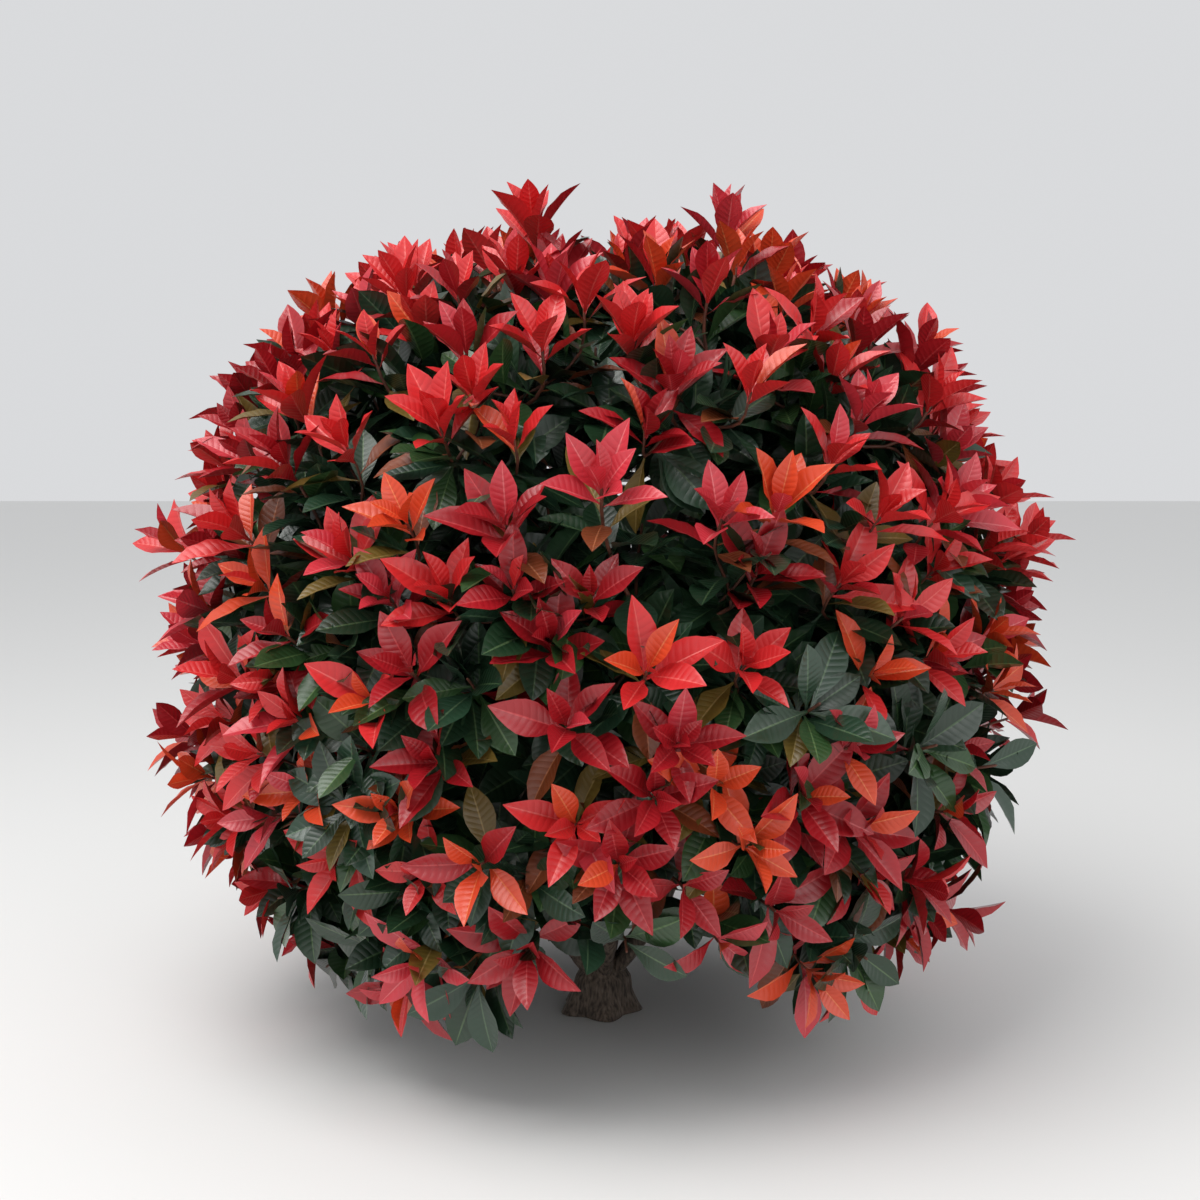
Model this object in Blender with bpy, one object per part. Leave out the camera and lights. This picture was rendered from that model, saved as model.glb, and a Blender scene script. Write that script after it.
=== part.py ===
"""A red-tipped photinia shrub about 1.2 m tall, rooted in the ground at the origin.

A short trunk with a root flare carries one upright stem and seven spreading stems. Boughs leave those stems,
and each stem and bough ends where it enters a mass of foliage. A mass is one stem that runs into a small
dense core and forks into twigs, each with a whorl of leaves at its tip. Metres, +Z up, +X to the right, seen
from the front along +Y.
"""

import math
import random
from collections import namedtuple
from itertools import product

import bmesh
import bpy
from mathutils import Matrix, Vector
from mathutils.bvhtree import BVHTree
from mathutils.geometry import interpolate_bezier

# The crown: how far leaf tips reach from its centre to the side, to the top and downwards.
CROWN_CENTRE = Vector((0.0, 0.0, 0.55))
REACH_SIDE = 0.625
REACH_TOP = 0.595
REACH_DOWN = 0.610
SHOULDER_BULGE = 0.035
DEPTH_SHARE = 0.96
REACH_JITTER = 0.06
LOWEST_LEAF = 0.085

# The shoots: how many, how low they start, and how they stand. High ones stand up, low ones face outwards.
SEED = 41
SHOOTS = 116
LOWEST_SINE = -0.72
GOLDEN_ANGLE = math.pi * (3 - math.sqrt(5))
DIRECTION_JITTER = 0.055
UPWARD_PULL = (0.25, 0.85)
WHORL_DEPTH = 0.082
# Leaders that stand above the rest: azimuth, elevation from the crown's centre and reach of their tips.
LEADERS = (
    (-15.0, 73.0, 0.645),
    (-135.0, 78.0, 0.630),
    (-6.0, 44.0, 0.650),
    (-8.0, 16.0, 0.650),
    (-5.0, -8.0, 0.640),
    (-20.0, -33.0, 0.660),
    (-172.0, 37.0, 0.625),
    (-174.0, 15.0, 0.640),
    (-175.0, -11.0, 0.640),
    (-155.0, -31.0, 0.620),
    (-140.0, 57.0, 0.630),
)
# The arch at the front foot, through which the stems show.
ARCH_AZIMUTH = -86.0
ARCH_HALF_WIDTH = 16.0
ARCH_TOP = -33.0

# The masses of foliage: name, elevation seen from the crown's centre, how many round, azimuth of the first.
MASS_RINGS = (
    ("top_mass", 90.0, 1, 0.0),
    ("crown_mass", 46.0, 5, -54.0),
    ("shoulder_mass", 8.0, 7, -82.0),
    ("skirt_mass", -32.0, 7, -60.0),
)
MASS_ROOT_REACH = {"top_mass": 0.27, "crown_mass": 0.29, "shoulder_mass": 0.30, "skirt_mass": 0.31}
SPACE_MARGIN = 0.0015
HEART_MARGIN = 0.016
CORE_REACH = 0.415
CORE_RADII = (0.060, 0.125, 0.115)

# The trunk and the limbs.
TRUNK_HEIGHT = 0.085
FLARE_RADIUS = 0.056
WAIST_RADIUS = 0.037
FLARE_LOBES = 5
TRUNK_LEAN = Vector((0.006, -0.004, 0.0))
STUB_LENGTH = 0.082
STUB_SLOPE = 52.0
STEM_RADIUS = 0.0120
BOUGH_RADIUS = 0.0082
LIMB_TIP_RADIUS = 0.0050
COLLAR = 0.010
GAP = 0.0003
SEAT_GAP = 0.0004
LIMB_STEPS = 6
SKIRT_FORK = 0.22
CROWN_FORK = 0.55

# The twigs and the leaves. A leaf here stands for two or three of the real ones.
MASS_STEM_RADII = (0.0050, 0.0040)
TWIG_RADII = (0.0036, 0.0030)
TWIG_COLLAR = 0.030
LEAF_LENGTH = (0.124, 0.154)
LEAF_WIDTH_SHARE = 0.52
LEAF_THICKNESS_SHARE = 0.024
LEAF_SUNK = 0.0004
WHORL_LEAVES = 5
UPRIGHT_SPLAY = (28.0, 58.0)
OPEN_SPLAY = (46.0, 80.0)
WHORL_STEP = 0.005
FACE_TURNS = (32.0, 148.0, 268.0, 88.0, 212.0, 328.0)
SHORTER_TRIES = (1.0, 0.86, 0.72)
CLOSER_TRIES = (0.0, 14.0, 28.0)
TURN_TRIES = (0.0, 14.0, -14.0)

Shoot = namedtuple("Shoot", "name heart way openness")
Limb = namedtuple("Limb", "points radii end way")


def aim(azimuth, elevation):
    """The unit vector at an azimuth from +X towards +Y and an elevation above the horizon, in degrees."""
    a, e = math.radians(azimuth), math.radians(elevation)
    return Vector((math.cos(a) * math.cos(e), math.sin(a) * math.cos(e), math.sin(e)))


def blend(low, high, share):
    return low + (high - low) * share


def crown_reach(way):
    """How far leaf tips reach from the crown's centre along a unit vector."""
    tall = REACH_TOP if way.z > 0 else REACH_DOWN
    broad = blend(REACH_SIDE, REACH_SIDE * DEPTH_SHARE, way.y**2)
    shoulder = SHOULDER_BULGE * 4 * way.z**2 * (1 - way.z**2)
    return blend(broad, tall, way.z**2) + shoulder


def in_arch(way):
    azimuth = math.degrees(math.atan2(way.y, way.x))
    elevation = math.degrees(math.asin(way.z))
    return abs(azimuth - ARCH_AZIMUTH) < ARCH_HALF_WIDTH and elevation < ARCH_TOP


def shoot_at(name, way, reach):
    """A shoot whose whorl of leaves reaches the crown's edge along a unit vector."""
    height = (way.z - LOWEST_SINE) / (1 - LOWEST_SINE)
    stand = (way + Vector((0, 0, blend(*UPWARD_PULL, height)))).normalized()
    heart = CROWN_CENTRE + way * reach - stand * WHORL_DEPTH
    return Shoot(name, heart, stand, 1 - height)


def crown_shoots():
    """Shoots spread evenly over the crown by the golden angle, and the leaders."""
    shoots = [shoot_at(f"leader_{n}", aim(*lead[:2]), lead[2]) for n, lead in enumerate(LEADERS)]
    for index in range(SHOOTS):
        rng = random.Random(f"{SEED} shoot {index}")
        sine = 1 - (index + 0.5) / SHOOTS * (1 - LOWEST_SINE)
        flat = math.sqrt(1 - sine**2)
        turn = index * GOLDEN_ANGLE
        way = Vector((flat * math.cos(turn), flat * math.sin(turn), sine))
        way += Vector([rng.uniform(-1, 1) for _ in range(3)]) * DIRECTION_JITTER
        way.normalize()
        shoot = shoot_at(f"shoot_{index}", way, crown_reach(way) * (1 - rng.uniform(0, REACH_JITTER)))
        crowded = any((shoot.heart - lead.heart).length < WHORL_DEPTH for lead in shoots[: len(LEADERS)])
        if not in_arch(way) and not crowded:
            shoots.append(shoot)
    return shoots


def mass_ways():
    """Each mass's name and the way it lies from the crown's centre."""
    ways = {}
    for ring, elevation, count, first in MASS_RINGS:
        for index in range(count):
            name = ring if count == 1 else f"{ring}_{index + 1}"
            ways[name] = aim(first + index * 360 / count, elevation)
    return ways


def mass_of(point, ways):
    """The name of the mass whose space holds this point."""
    return max(ways, key=lambda name: (point - CROWN_CENTRE).dot(ways[name]))


def in_space(points, name, ways):
    """Whether every point lies in that mass's space, clear of the planes between it and its neighbours."""
    for other, way in ways.items():
        if other == name:
            continue
        normal = (ways[name] - way).normalized()
        if any((p - CROWN_CENTRE).dot(normal) < SPACE_MARGIN for p in points):
            return False
    return all(p.z > LOWEST_LEAF for p in points)


def drawn_in(point, name, ways):
    """A shoot's heart, drawn in from the edge of its mass's space, so that its twig keeps inside."""
    for other, way in ways.items():
        if other != name:
            normal = (ways[name] - way).normalized()
            point = point + normal * max(0.0, HEART_MARGIN - (point - CROWN_CENTRE).dot(normal))
    return point


def bow(start, start_way, end, end_way, steps):
    """Points of a smooth curve that leaves start along start_way and reaches end along end_way."""
    handle = (end - start).length * 0.38
    return interpolate_bezier(start, start + start_way * handle, end - end_way * handle, end, steps)


def collection(name):
    made = bpy.data.collections.new(name)
    bpy.context.scene.collection.children.link(made)
    return made


def material(name, colour, roughness):
    made = bpy.data.materials.new(name)
    made.use_nodes = True
    shader = made.node_tree.nodes["Principled BSDF"]
    shader.inputs["Base Color"].default_value = (*colour, 1.0)
    shader.inputs["Roughness"].default_value = roughness
    shader.inputs["Metallic"].default_value = 0.0
    made.diffuse_color = (*colour, 1.0)
    return made


def coat(made, finish):
    """Gives an object one material in place of any that a Boolean left on it."""
    made.data.materials.clear()
    made.data.materials.append(finish)


def tube_curve(name, points, radii, section=None):
    """A tapering tube through points as a curve object, six-sided, or with another curve as its section."""
    curve = bpy.data.curves.new(name, "CURVE")
    curve.dimensions = "3D"
    curve.use_fill_caps = True
    if section:
        curve.bevel_mode = "OBJECT"
        curve.bevel_object = section
    else:
        curve.bevel_depth = 1.0
        curve.bevel_resolution = 1
    spline = curve.splines.new("POLY")
    spline.points.add(len(points) - 1)
    for index, (place, point) in enumerate(zip(points, spline.points)):
        point.co = (*place, 1.0)
        point.radius = blend(radii[0], radii[1], index / (len(points) - 1))
    return bpy.data.objects.new(name, curve)


def tube_mesh(name, points, radii, target, section=None):
    """The same tube as a closed mesh object, linked to the target collection."""
    guide = tube_curve(name + ".guide", points, radii, section)
    target.objects.link(guide)
    graph = bpy.context.evaluated_depsgraph_get()
    mesh = bpy.data.meshes.new_from_object(guide.evaluated_get(graph))
    mesh.name = name
    bpy.data.objects.remove(guide)
    shape = bmesh.new()
    shape.from_mesh(mesh)
    bmesh.ops.remove_doubles(shape, verts=shape.verts, dist=1e-5)
    bmesh.ops.recalc_face_normals(shape, faces=shape.faces)
    shape.to_mesh(mesh)
    shape.free()
    made = bpy.data.objects.new(name, mesh)
    target.objects.link(made)
    return made


def three_sided_section():
    """A triangle of unit radius, which the twigs' curves carry as their section."""
    curve = bpy.data.curves.new("twig_section", "CURVE")
    spline = curve.splines.new("POLY")
    spline.points.add(2)
    for index, point in enumerate(spline.points):
        turn = math.radians(120 * index)
        point.co = (math.cos(turn), math.sin(turn), 0, 1)
    spline.use_cyclic_u = True
    return bpy.data.objects.new("twig_section", curve)


def blade_mesh():
    """A leaf of unit length along +X, as an octahedron drawn out flat: eight faces, folded up along the rib."""
    mesh = bpy.data.meshes.new("blade")
    shape = bmesh.new()
    bmesh.ops.create_uvsphere(shape, u_segments=4, v_segments=2, radius=1)
    half_width = LEAF_WIDTH_SHARE / 2
    half_thickness = LEAF_THICKNESS_SHARE / 2
    rib_arch = 0.045
    fold = 0.075
    for vertex in shape.verts:
        x, y, z = vertex.co
        if abs(x) > 0.5:
            vertex.co = ((x + 1) / 2, 0, 0)
        elif abs(y) > 0.5:
            vertex.co = (0.54, y * half_width, rib_arch + fold)
        else:
            vertex.co = (0.42, 0, rib_arch + z * half_thickness)
    shape.to_mesh(mesh)
    shape.free()
    return mesh


def core_mesh(name, way, target):
    """The dense heart of a mass: a low ball, flat along the way out of the crown."""
    mesh = bpy.data.meshes.new(name)
    shape = bmesh.new()
    bmesh.ops.create_icosphere(shape, subdivisions=1, radius=1)
    rng = random.Random(f"{SEED} {name}")
    across = Vector((0, 0, 1)).cross(way)
    across = across.normalized() if across.length > 0.1 else Vector((0, 1, 0))
    up = way.cross(across)
    for vertex in shape.verts:
        x, y, z = (vertex.co[axis] * CORE_RADII[axis] * rng.uniform(0.88, 1.12) for axis in range(3))
        vertex.co = CROWN_CENTRE + way * (CORE_REACH + x) + across * y + up * z
    shape.to_mesh(mesh)
    shape.free()
    made = bpy.data.objects.new(name, mesh)
    target.objects.link(made)
    return made


def tree_of(mesh, place=Matrix.Identity(4)):
    """A search tree of a mesh's faces, put in place."""
    points = [place @ v.co for v in mesh.vertices]
    return BVHTree.FromPolygons(points, [tuple(p.vertices) for p in mesh.polygons])


def trunk_body(target):
    """The trunk: a cone drawn into a lobed root flare, flat at the ground, drawn in and leaning at its top."""
    mesh = bpy.data.meshes.new("trunk")
    shape = bmesh.new()
    bmesh.ops.create_cone(shape, cap_ends=True, segments=20, radius1=1, radius2=1, depth=1)
    sides = [e for e in shape.edges if abs(e.verts[0].co.z - e.verts[1].co.z) > 0.5]
    bmesh.ops.subdivide_edges(shape, edges=sides, cuts=4)
    for vertex in shape.verts:
        up = vertex.co.z + 0.5
        turn = math.atan2(vertex.co.y, vertex.co.x)
        spread = (1 - up) ** 2.2
        radius = blend(WAIST_RADIUS, FLARE_RADIUS, spread) * (1 - 0.45 * max(0.0, up - 0.6) / 0.4)
        radius *= 1 + 0.13 * spread * math.cos(FLARE_LOBES * turn + 0.6)
        place = Vector((radius * math.cos(turn), radius * math.sin(turn), up * TRUNK_HEIGHT))
        vertex.co = place + TRUNK_LEAN * up
    bmesh.ops.triangulate(shape, faces=[f for f in shape.faces if len(f.verts) > 4])
    shape.to_mesh(mesh)
    shape.free()
    made = bpy.data.objects.new("trunk", mesh)
    target.objects.link(made)
    return made


def combined(base, operation, pieces):
    """Joins a collection's objects to base, or cuts them from it, by one Boolean, applied, and removes them."""
    joint = base.modifiers.new(operation, "BOOLEAN")
    joint.operation = operation
    joint.operand_type = "COLLECTION"
    joint.collection = pieces
    joint.solver = "MANIFOLD"
    graph = bpy.context.evaluated_depsgraph_get()
    mesh = bpy.data.meshes.new_from_object(base.evaluated_get(graph))
    mesh.name = base.name
    base.modifiers.clear()
    base.data = mesh
    for piece in list(pieces.objects):
        bpy.data.objects.remove(piece)
    bpy.data.collections.remove(pieces)
    keep_largest_shell(mesh)
    return base


def keep_largest_shell(mesh):
    """Drops every shell but the largest, so that a loose scrap goes and a sealed hollow is filled."""
    shape = bmesh.new()
    shape.from_mesh(mesh)
    left = set(shape.faces)
    shells = []
    while left:
        stack = [left.pop()]
        shell = []
        while stack:
            face = stack.pop()
            shell.append(face)
            near = {f for edge in face.edges for f in edge.link_faces} & left
            left -= near
            stack.extend(near)
        shells.append(shell)
    shells.sort(key=len)
    bmesh.ops.delete(shape, geom=[f for shell in shells[:-1] for f in shell], context="FACES")
    bmesh.ops.triangulate(shape, faces=shape.faces)
    shape.to_mesh(mesh)
    shape.free()


def stub_line(azimuth, slope):
    """Where a stub on the trunk starts and the way it points."""
    way = aim(azimuth, slope)
    heart = Vector((0, 0, TRUNK_HEIGHT * 0.5)) + TRUNK_LEAN * 0.5
    return heart + Vector((way.x, way.y, 0)) * 0.012, way


def limb_from(start, start_way, end, end_way, radii):
    """A limb's points: a straight collar, a bow, and a straight end that its mass's stem is set on."""
    first = start + start_way * COLLAR
    last = end - end_way * COLLAR
    points = [start, *bow(first, start_way, last, end_way, LIMB_STEPS), end]
    return Limb(points, radii, end, end_way)


def along(limb, share):
    """A point on a limb's line, the way the line runs there and the limb's radius there."""
    place = share * (len(limb.points) - 1)
    index = min(int(place), len(limb.points) - 2)
    a, b = limb.points[index], limb.points[index + 1]
    return a.lerp(b, place - index), (b - a).normalized(), blend(*limb.radii, share)


def ring_of(name):
    return name.rstrip("0123456789_")


def mass_root(name, ways):
    """Where a mass's stem starts, and the way it sets off, towards its core."""
    out = ways[name]
    way = (out + Vector((0, 0, UPWARD_PULL[0]))).normalized()
    return CROWN_CENTRE + out * CORE_REACH - way * (CORE_REACH - MASS_ROOT_REACH[ring_of(name)]), way


def stem_limbs(ways):
    """The stub of each stem on the trunk, and each stem from 0.3 mm above its stub to its mass."""
    stubs, stems = {}, {}
    names = ["top_mass"] + [name for name in ways if ring_of(name) == "shoulder_mass"]
    for name in names:
        number = name.rpartition("_")[2]
        stem = "centre_stem" if name == "top_mass" else f"stem_{number}"
        out = ways[name]
        azimuth = math.degrees(math.atan2(out.y, out.x))
        start, way = stub_line(azimuth, 88.0 if name == "top_mass" else STUB_SLOPE)
        stub_end = start + way * STUB_LENGTH
        stubs[stem] = (start, stub_end)
        root, root_way = mass_root(name, ways)
        stems[stem] = limb_from(stub_end + way * GAP, way, root, root_way, (STEM_RADIUS, LIMB_TIP_RADIUS))
    return stubs, stems


def nearest_stem(out, stems):
    spread = {name: limb for name, limb in stems.items() if name != "centre_stem"}
    return max(spread, key=lambda name: Vector((out.x, out.y, 0)).dot(spread[name].end))


def side_limbs(ways, stems):
    """The boughs that leave the stems: for each, its parent stem and its limb, from the parent's line."""
    boughs = {}
    for name, out in ways.items():
        if ring_of(name) not in ("crown_mass", "skirt_mass"):
            continue
        high = ring_of(name) == "crown_mass"
        parent = nearest_stem(out, stems)
        start, run, radius = along(stems[parent], CROWN_FORK if high else SKIRT_FORK)
        root, root_way = mass_root(name, ways)
        start_way = ((root - start).normalized() + run * (0.5 if high else 0.3)).normalized()
        radii = (min(BOUGH_RADIUS, radius * 0.85), LIMB_TIP_RADIUS)
        boughs[name.replace("mass", "bough")] = (parent, limb_from(start, start_way, root, root_way, radii))
    return boughs


def build_limbs(ways, parts, bark):
    """Makes the trunk, stems and boughs. Returns their search trees and the limb that carries each mass."""
    stubs, stems = stem_limbs(ways)
    boughs = side_limbs(ways, stems)
    pieces = collection("trunk_pieces")
    for stem, line in stubs.items():
        tube_mesh(stem + "_stub", line, (STEM_RADIUS * 1.12, STEM_RADIUS), pieces)
    limbs = [combined(trunk_body(parts), "UNION", pieces)]
    for name, limb in stems.items():
        limbs.append(tube_mesh(name, limb.points, limb.radii, parts))
    for name, (parent, limb) in boughs.items():
        seat = collection(name + "_seat")
        tube_mesh(name + "_seat", stems[parent].points, [r + SEAT_GAP for r in stems[parent].radii], seat)
        limbs.append(combined(tube_mesh(name, limb.points, limb.radii, parts), "DIFFERENCE", seat))
    for made in limbs:
        coat(made, bark)
        made.data.shade_smooth()
    carriers = {"top_mass": stems["centre_stem"]}
    for name, limb in stems.items():
        if name != "centre_stem":
            carriers[name.replace("stem", "shoulder_mass")] = limb
    for name, (_, limb) in boughs.items():
        carriers[name.replace("bough", "mass")] = limb
    return [tree_of(made.data) for made in limbs], carriers


def mass_stem(limb, way):
    """The points of a mass's stem, from just clear of its limb's end into the middle of its core."""
    first = limb.end + limb.way * (GAP + COLLAR)
    heart = CROWN_CENTRE + way * CORE_REACH
    return [limb.end + limb.way * GAP, *bow(first, limb.way, heart, limb.way, 2)]


def twig_points(heart, way, shoot):
    """A twig that leaves the core's middle sideways and rises to a shoot's heart."""
    leave = (shoot.heart - heart).normalized().lerp(way, 0.3).normalized()
    collar = shoot.heart - shoot.way * TWIG_COLLAR
    return [*bow(heart, leave, collar, shoot.way, 3), shoot.heart]


def corner_way(twig, heart):
    """The way from a twig's end to one corner of its three-sided section."""
    corner = min((v.co for v in twig.data.vertices), key=lambda place: (place - heart).length)
    return (corner - heart).normalized()


def leaf_place(root, run, corner, splay, turn, length):
    """The matrix that puts a unit blade at root, splayed from run, its upper face towards run."""
    side = corner.copy()
    side.rotate(Matrix.Rotation(math.radians(turn), 3, run))
    lie = (run * math.cos(math.radians(splay)) + side * math.sin(math.radians(splay))).normalized()
    face = (run - lie * run.dot(lie)).normalized()
    across = face.cross(lie)
    frame = Matrix((lie, across, face)).transposed().to_4x4()
    return Matrix.Translation(root - lie * LEAF_SUNK) @ frame @ Matrix.Scale(length, 4)


def whorl_leaves(rng, shoot):
    """The leaves wanted of one shoot, inner ones first: root, splay, turn and length of each."""
    splays = [blend(low, high, shoot.openness) for low, high in zip(UPRIGHT_SPLAY, OPEN_SPLAY)]
    first = rng.randrange(len(FACE_TURNS))
    for index in range(WHORL_LEAVES):
        share = index / (WHORL_LEAVES - 1)
        root = shoot.heart - shoot.way * (0.003 + WHORL_STEP * index)
        splay = blend(*splays, share) + rng.uniform(-6, 6)
        turn = FACE_TURNS[(first + index) % len(FACE_TURNS)] + rng.uniform(-4, 4)
        yield root, splay, turn, rng.uniform(*LEAF_LENGTH) * blend(0.9, 1.0, share)


def settled_leaf(wanted, shoot, corner, blade, name, ways, taken):
    """The first place, turned or shortened, where a leaf keeps to its space and touches nothing, or None."""
    root, splay, turn, length = wanted
    for shorter, closer, more_turn in product(SHORTER_TRIES, CLOSER_TRIES, TURN_TRIES):
        place = leaf_place(root, shoot.way, corner, splay - closer, turn + more_turn, length * shorter)
        if not in_space([place @ v.co for v in blade.vertices], name, ways):
            continue
        tree = tree_of(blade, place)
        if not any(tree.overlap(other) for other in taken):
            return place, tree
    return None


def build_mass(name, shoots, limb, ways, limb_trees, blade, section, parts):
    """One mass of foliage: its stem, core, twigs and leaves, joined by one union."""
    stem_line = mass_stem(limb, ways[name])
    base = tube_mesh(name, stem_line, MASS_STEM_RADII, parts, section)
    pieces = collection(name + "_pieces")
    core = core_mesh(name + "_core", ways[name], pieces)
    twigs = []
    for shoot in shoots:
        line = twig_points(stem_line[-1], ways[name], shoot)
        twig = tube_mesh(f"{name}_{shoot.name}", line, TWIG_RADII, pieces, section)
        tree = tree_of(twig.data)
        keeps = in_space([v.co for v in twig.data.vertices], name, ways)
        if keeps and not any(tree.overlap(other) for other in limb_trees):
            twigs.append((shoot, corner_way(twig, shoot.heart), tree))
        else:
            bpy.data.objects.remove(twig)
    taken = [*limb_trees, tree_of(core.data)]
    count = 0
    for shoot, corner, own in twigs:
        rng = random.Random(f"{SEED} leaves {shoot.name}")
        others = [tree for _, _, tree in twigs if tree is not own]
        for wanted in whorl_leaves(rng, shoot):
            settled = settled_leaf(wanted, shoot, corner, blade, name, ways, taken + others)
            if settled:
                leaf = bpy.data.objects.new(f"{name}_leaf", blade)
                leaf.matrix_world = settled[0]
                pieces.objects.link(leaf)
                taken.append(settled[1])
                count += 1
    made = combined(base, "UNION", pieces)
    print(f"{name}: {len(twigs)} of {len(shoots)} twigs, {count} leaves, {len(made.data.polygons)} triangles")
    return made


def main():
    for old in list(bpy.data.objects):
        bpy.data.objects.remove(old)
    parts = collection("photinia_shrub")
    bark = material("bark", (0.16, 0.115, 0.085), 0.8)
    young = material("young_leaf", (0.60, 0.030, 0.022), 0.35)
    old = material("old_leaf", (0.035, 0.085, 0.030), 0.4)
    section = three_sided_section()
    blade = blade_mesh()
    ways = mass_ways()
    limb_trees, carriers = build_limbs(ways, parts, bark)
    shares = {name: [] for name in ways}
    for shoot in crown_shoots():
        name = mass_of(shoot.heart, ways)
        shares[name].append(shoot._replace(heart=drawn_in(shoot.heart, name, ways)))
    for name, shoots in shares.items():
        mass = build_mass(name, shoots, carriers[name], ways, limb_trees, blade, section, parts)
        coat(mass, old if ring_of(name) == "skirt_mass" else young)
    bpy.data.objects.remove(section)


main()
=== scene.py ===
"""A red-tipped photinia shrub: a short rooted trunk, spreading stems, and a dense crown of glossy red young
leaves over leathery green ones. Metres, +Z up, seen from the front along +Y."""

import math
import random
from collections import namedtuple

import bmesh
import bpy
import numpy as np
from mathutils import Matrix, Vector, noise
from mathutils.geometry import interpolate_bezier


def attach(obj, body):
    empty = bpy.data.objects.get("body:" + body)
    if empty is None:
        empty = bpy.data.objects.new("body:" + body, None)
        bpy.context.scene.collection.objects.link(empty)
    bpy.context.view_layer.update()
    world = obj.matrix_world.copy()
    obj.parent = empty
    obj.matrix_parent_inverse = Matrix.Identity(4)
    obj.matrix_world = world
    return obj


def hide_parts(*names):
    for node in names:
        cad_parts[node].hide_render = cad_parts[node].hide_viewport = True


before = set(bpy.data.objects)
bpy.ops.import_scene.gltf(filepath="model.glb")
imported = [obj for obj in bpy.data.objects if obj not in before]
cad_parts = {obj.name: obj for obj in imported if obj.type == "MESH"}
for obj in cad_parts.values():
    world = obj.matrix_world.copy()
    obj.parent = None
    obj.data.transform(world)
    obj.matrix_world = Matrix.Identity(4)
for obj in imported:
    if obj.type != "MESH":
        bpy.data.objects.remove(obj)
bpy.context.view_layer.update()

# The camera stands two and a half metres off, just under a metre up, and looks a little down on the crown,
# so that the foot of the trunk shows under its front edge.
CAMERA_PLACE = (0.0, -2.55, 0.96)
CAMERA_PITCH = math.radians(7.9)
CAMERA_LENS = 54
CAMERA_SENSOR = 36

camera = bpy.data.objects.new("camera", bpy.data.cameras.new("camera"))
bpy.context.scene.collection.objects.link(camera)
camera.data.lens = CAMERA_LENS
camera.data.sensor_width = CAMERA_SENSOR
camera.data.sensor_height = CAMERA_SENSOR
camera.location = CAMERA_PLACE
camera.rotation_euler = (math.pi / 2 - CAMERA_PITCH, 0, 0)
bpy.context.scene.camera = camera

# The crown's plan: where each shoot of the shrub ends, and which mass of foliage it belongs to. Shoots are
# spread evenly by the golden angle over a rounded crown, and a few leaders stand above the rest.
CROWN_CENTRE = Vector((0.0, 0.0, 0.55))
REACH_SIDE = 0.625
REACH_TOP = 0.595
REACH_DOWN = 0.610
SHOULDER_BULGE = 0.035
DEPTH_SHARE = 0.96
REACH_JITTER = 0.06
SEED = 41
SHOOTS = 116
LOWEST_SINE = -0.72
GOLDEN_ANGLE = math.pi * (3 - math.sqrt(5))
DIRECTION_JITTER = 0.055
UPWARD_PULL = (0.25, 0.85)
WHORL_DEPTH = 0.082
LEADERS = (
    (-15.0, 73.0, 0.645),
    (-135.0, 78.0, 0.630),
    (-6.0, 44.0, 0.650),
    (-8.0, 16.0, 0.650),
    (-5.0, -8.0, 0.640),
    (-20.0, -33.0, 0.660),
    (-172.0, 37.0, 0.625),
    (-174.0, 15.0, 0.640),
    (-175.0, -11.0, 0.640),
    (-155.0, -31.0, 0.620),
    (-140.0, 57.0, 0.630),
)
ARCH_AZIMUTH = -86.0
ARCH_HALF_WIDTH = 16.0
ARCH_TOP = -33.0
MASS_RINGS = (
    ("top_mass", 90.0, 1, 0.0),
    ("crown_mass", 46.0, 5, -54.0),
    ("shoulder_mass", 8.0, 7, -82.0),
    ("skirt_mass", -32.0, 7, -60.0),
)
MASS_ROOT_REACH = {"top_mass": 0.27, "crown_mass": 0.29, "shoulder_mass": 0.30, "skirt_mass": 0.31}
HEART_MARGIN = 0.016
CORE_REACH = 0.415
BOW_HANDLE = 0.38

Shoot = namedtuple("Shoot", "name heart way openness")


def aim(azimuth, elevation):
    """The unit vector at an azimuth from +X towards +Y and an elevation above the horizon, in degrees."""
    a, e = math.radians(azimuth), math.radians(elevation)
    return Vector((math.cos(a) * math.cos(e), math.sin(a) * math.cos(e), math.sin(e)))


def blend(low, high, share):
    return low + (high - low) * share


def crown_reach(way):
    """How far leaf tips reach from the crown's centre along a unit vector."""
    tall = REACH_TOP if way.z > 0 else REACH_DOWN
    broad = blend(REACH_SIDE, REACH_SIDE * DEPTH_SHARE, way.y**2)
    shoulder = SHOULDER_BULGE * 4 * way.z**2 * (1 - way.z**2)
    return blend(broad, tall, way.z**2) + shoulder


def in_arch(way):
    """Whether a way points into the arch at the front foot, where the stems show."""
    azimuth = math.degrees(math.atan2(way.y, way.x))
    elevation = math.degrees(math.asin(way.z))
    return abs(azimuth - ARCH_AZIMUTH) < ARCH_HALF_WIDTH and elevation < ARCH_TOP


def shoot_at(name, way, reach, depth):
    """A shoot whose whorl of leaves reaches the crown's edge along a unit vector."""
    height = (way.z - LOWEST_SINE) / (1 - LOWEST_SINE)
    stand = (way + Vector((0, 0, blend(*UPWARD_PULL, height)))).normalized()
    return Shoot(name, CROWN_CENTRE + way * reach - stand * depth, stand, 1 - height)


def golden_way(rng, index, count):
    """The way of one of count shoots round the crown by the golden angle, a little off its even place."""
    sine = 1 - (index + 0.5) / count * (1 - LOWEST_SINE)
    flat = math.sqrt(1 - sine**2)
    turn = index * GOLDEN_ANGLE
    way = Vector((flat * math.cos(turn), flat * math.sin(turn), sine))
    way += Vector([rng.uniform(-1, 1) for _ in range(3)]) * DIRECTION_JITTER
    return way.normalized()


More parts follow.
